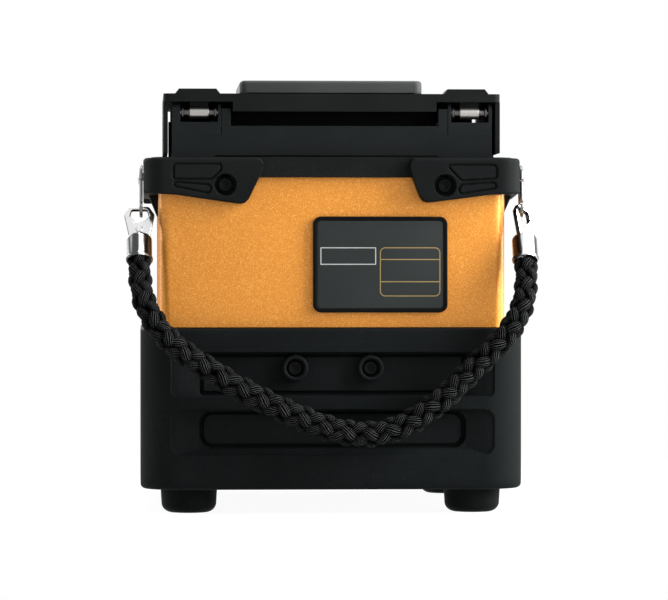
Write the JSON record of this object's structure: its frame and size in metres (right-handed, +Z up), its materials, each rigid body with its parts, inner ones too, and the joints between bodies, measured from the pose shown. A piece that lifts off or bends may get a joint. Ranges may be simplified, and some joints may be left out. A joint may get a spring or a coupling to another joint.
{
  "type": "fiber fusion splicer",
  "caption": "Portable arc fusion splicer in a rubber bumper: hinged wind cover, tube heater, tilting screen with keys, slide-out battery and a rope carry strap.",
  "frame": {"origin": "on the surface that the feet stand on, under the middle of the case", "axes": "+Z up, the rear face with the label looks along -Y, the screen looks along +Y, +X to the right when seen from behind the case"},
  "size_m": [0.155, 0.1721, 0.162],
  "materials": {
    "gold_metal": "fine metallic sparkle, satin",
    "bumper_rubber": "matt moulded rubber",
    "guard_rubber": "matt moulded rubber",
    "foot_rubber": "matt moulded rubber",
    "black_plastic": "fine spark-eroded texture",
    "cover_plate": "soft satin",
    "label_plastic": "satin film",
    "battery_plastic": "fine texture",
    "latch_plastic": "satin",
    "fan_plastic": "satin",
    "circuit_board": "solder mask",
    "screen": "dark display",
    "screen_glass": "clear cover glass",
    "key_rubber": "soft touch keypad",
    "aluminium": "bead blasted",
    "dark_metal": "black anodised",
    "steel": "turned steel",
    "black_steel": "black oxide",
    "chrome": "bright nickel chrome",
    "brass": "turned brass",
    "ceramic": "white zirconia ceramic",
    "rope": "braided black cord"
  },
  "bodies": {
    "case": {"body_sleeve": "gold_metal", "bumper_case": "bumper_rubber", "base_plate": "aluminium", "tripod_insert": "brass", "foot_rear_left": "foot_rubber", "foot_rear_right": "foot_rubber", "foot_front_left": "foot_rubber", "foot_front_right": "foot_rubber", "case_screws": "black_steel", "rim_frame": "black_plastic", "guard_rear_right": "guard_rubber", "guard_rear_left": "guard_rubber", "guard_front_right": "guard_rubber", "guard_front_left": "guard_rubber", "label_plate": "label_plastic", "upper_deck": "black_plastic", "hinge_brackets": "black_plastic", "hinge_pins": "steel", "groove_block": "ceramic", "electrodes": "steel", "electrode_holders": "aluminium", "microscopes": "dark_metal", "heater_trough": "dark_metal", "screen_pins": "steel", "front_panel": "black_plastic", "battery_bay": "aluminium", "chassis": "aluminium", "main_board": "circuit_board", "arc_board": "circuit_board", "fan_frame": "fan_plastic", "port_panel": "black_plastic", "power_jack": "steel", "strap_studs": "chrome"},
    "wind_cover": {"wind_cover": "black_plastic", "cover_top_plate": "cover_plate", "hinge_sleeves": "steel"},
    "screen_unit": {"screen_housing": "black_plastic", "lcd_panel": "screen", "touch_glass": "screen_glass"},
    "power_key": {"power_key": "key_rubber"},
    "heat_key": {"heat_key": "key_rubber"},
    "run_key": {"run_key": "key_rubber"},
    "reset_key": {"reset_key": "key_rubber"},
    "heater_lid": {"heater_lid": "black_plastic"},
    "stage_left": {"fiber_stage_left": "aluminium"},
    "stage_right": {"fiber_stage_right": "aluminium"},
    "lid_left": {"holder_lid_left": "dark_metal"},
    "lid_right": {"holder_lid_right": "dark_metal"},
    "clamp_left": {"clamp_arm_left": "dark_metal"},
    "clamp_right": {"clamp_arm_right": "dark_metal"},
    "fan": {"fan_rotor": "fan_plastic"},
    "battery": {"battery_pack": "battery_plastic"},
    "latch": {"battery_latch": "latch_plastic"},
    "strap": {"strap_link_left": "chrome", "strap_link_right": "chrome", "cord_cap_left": "chrome", "cord_cap_right": "chrome", "strap_rope": "rope"},
    "gate_left": {"link_gate_left": "chrome"},
    "gate_right": {"link_gate_right": "chrome"}
  },
  "joints": [
    {"name": "cover_hinge", "type": "hinge", "parent": "case", "child": "wind_cover", "pos_m": [0, -0.0676, 0.1497], "axis": [1, 0, 0], "range_deg": [0, 80]},
    {"name": "screen_tilt", "type": "hinge", "parent": "case", "child": "screen_unit", "pos_m": [0, 0.0675, 0.1285], "axis": [1, 0, 0], "range_deg": [0, 110]},
    {"name": "power_key_press", "type": "slide", "parent": "screen_unit", "child": "power_key", "axis": [0, -1, 0], "range_m": [0, 0.0004], "stiffness_N_per_m": 600},
    {"name": "heat_key_press", "type": "slide", "parent": "screen_unit", "child": "heat_key", "axis": [0, -1, 0], "range_m": [0, 0.0004], "stiffness_N_per_m": 600},
    {"name": "run_key_press", "type": "slide", "parent": "screen_unit", "child": "run_key", "axis": [0, -1, 0], "range_m": [0, 0.0004], "stiffness_N_per_m": 600},
    {"name": "reset_key_press", "type": "slide", "parent": "screen_unit", "child": "reset_key", "axis": [0, -1, 0], "range_m": [0, 0.0004], "stiffness_N_per_m": 600},
    {"name": "heater_lid_hinge", "type": "hinge", "parent": "case", "child": "heater_lid", "pos_m": [0, 0.0268, 0.1432], "axis": [1, 0, 0], "range_deg": [0, 85]},
    {"name": "stage_feed_left", "type": "slide", "parent": "case", "child": "stage_left", "axis": [-1, 0, 0], "range_m": [-0.0015, 0.0015]},
    {"name": "holder_lid_hinge_left", "type": "hinge", "parent": "stage_left", "child": "lid_left", "pos_m": [-0.0325, -0.0364, 0.1469], "axis": [1, 0, 0], "range_deg": [0, 72]},
    {"name": "clamp_arm_hinge_left", "type": "hinge", "parent": "case", "child": "clamp_left", "pos_m": [-0.0075, -0.047, 0.1482], "axis": [1, 0, 0], "range_deg": [0, 40]},
    {"name": "stage_feed_right", "type": "slide", "parent": "case", "child": "stage_right", "axis": [1, 0, 0], "range_m": [-0.0015, 0.0015]},
    {"name": "holder_lid_hinge_right", "type": "hinge", "parent": "stage_right", "child": "lid_right", "pos_m": [0.0325, -0.0364, 0.1469], "axis": [1, 0, 0], "range_deg": [0, 72]},
    {"name": "clamp_arm_hinge_right", "type": "hinge", "parent": "case", "child": "clamp_right", "pos_m": [0.0075, -0.047, 0.1482], "axis": [1, 0, 0], "range_deg": [0, 40]},
    {"name": "fan_spin", "type": "hinge", "parent": "case", "child": "fan", "pos_m": [-0.0574, 0.01, 0.0985], "axis": [1, 0, 0], "continuous": true},
    {"name": "battery_slide", "type": "slide", "parent": "case", "child": "battery", "axis": [0, 1, 0], "range_m": [0, 0.054]},
    {"name": "battery_latch_slide", "type": "slide", "parent": "battery", "child": "latch", "axis": [1, 0, 0], "range_m": [0, 0.003], "stiffness_N_per_m": 150},
    {"name": "strap_swing", "type": "hinge", "parent": "case", "child": "strap", "pos_m": [0, -0.065, 0.126], "axis": [-1, 0, 0], "range_deg": [0, 135]},
    {"name": "link_gate_hinge_left", "type": "hinge", "parent": "strap", "child": "gate_left", "pos_m": [-0.0712, -0.06997, 0.11682], "axis": [-1, 0, 0], "range_deg": [0, 18], "stiffness_Nm_per_rad": 0.002},
    {"name": "link_gate_hinge_right", "type": "hinge", "parent": "strap", "child": "gate_right", "pos_m": [0.0712, -0.06997, 0.11682], "axis": [-1, 0, 0], "range_deg": [0, 18], "stiffness_Nm_per_rad": 0.002}
  ],
  "couplings": [
    {"joint": "holder_lid_hinge_left", "follows": "cover_hinge", "ratio": 0.9},
    {"joint": "clamp_arm_hinge_left", "follows": "cover_hinge", "ratio": 0.5},
    {"joint": "holder_lid_hinge_right", "follows": "cover_hinge", "ratio": 0.9},
    {"joint": "clamp_arm_hinge_right", "follows": "cover_hinge", "ratio": 0.5}
  ]
}
